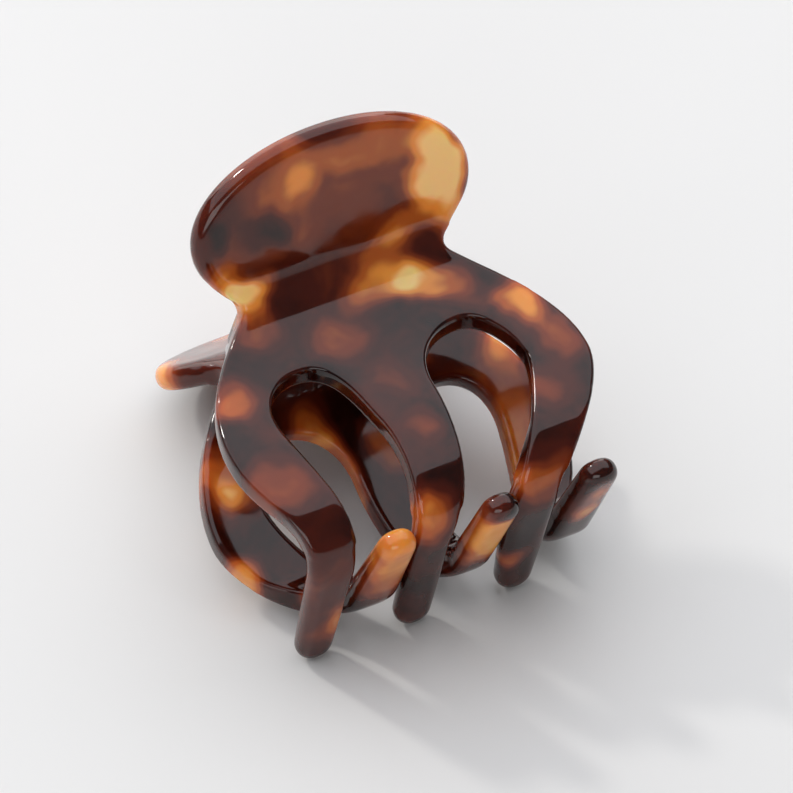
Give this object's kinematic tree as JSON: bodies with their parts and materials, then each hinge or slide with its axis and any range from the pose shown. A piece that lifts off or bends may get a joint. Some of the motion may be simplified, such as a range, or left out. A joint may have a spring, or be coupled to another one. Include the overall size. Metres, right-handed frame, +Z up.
{
  "type": "hair claw clip",
  "caption": "Small spring-loaded hair claw clip with two bent acetate jaws, oval thumb tabs and interlocking curved teeth, lying closed on its lower jaw.",
  "frame": {"origin": "centre of the clip's footprint on the table, at table height, with the closed clip lying down", "axes": "+Z up from the table, +X along the hinge pin to the right of someone facing the teeth, +Y from the teeth towards the thumb tabs"},
  "size_m": [0.0454, 0.0558, 0.0493],
  "materials": {
    "tortoiseshell_acetate": "polished cellulose acetate, near-black brown with soft amber and honey patches",
    "lug_acetate": "polished dark brown acetate with honey patches",
    "pin_steel": "bright drawn steel, upset heads",
    "spring_steel": "bright spring wire"
  },
  "bodies": {
    "lower_jaw": {"lower_jaw": "tortoiseshell_acetate", "lower_hinge_lug_left": "lug_acetate", "lower_hinge_lug_right": "lug_acetate", "hinge_pin": "pin_steel", "torsion_spring": "spring_steel"},
    "upper_jaw": {"upper_jaw": "tortoiseshell_acetate", "upper_hinge_lug_left": "lug_acetate", "upper_hinge_lug_right": "lug_acetate"}
  },
  "joints": [
    {"name": "jaw_hinge", "type": "hinge", "parent": "lower_jaw", "child": "upper_jaw", "pos_m": [0, 0.00782, 0.02109], "axis": [-1, 0, 0], "range_deg": [0, 55], "stiffness_Nm_per_rad": 0.09, "springref_deg": -28.65, "deforming": ["torsion_spring"]}
  ]
}
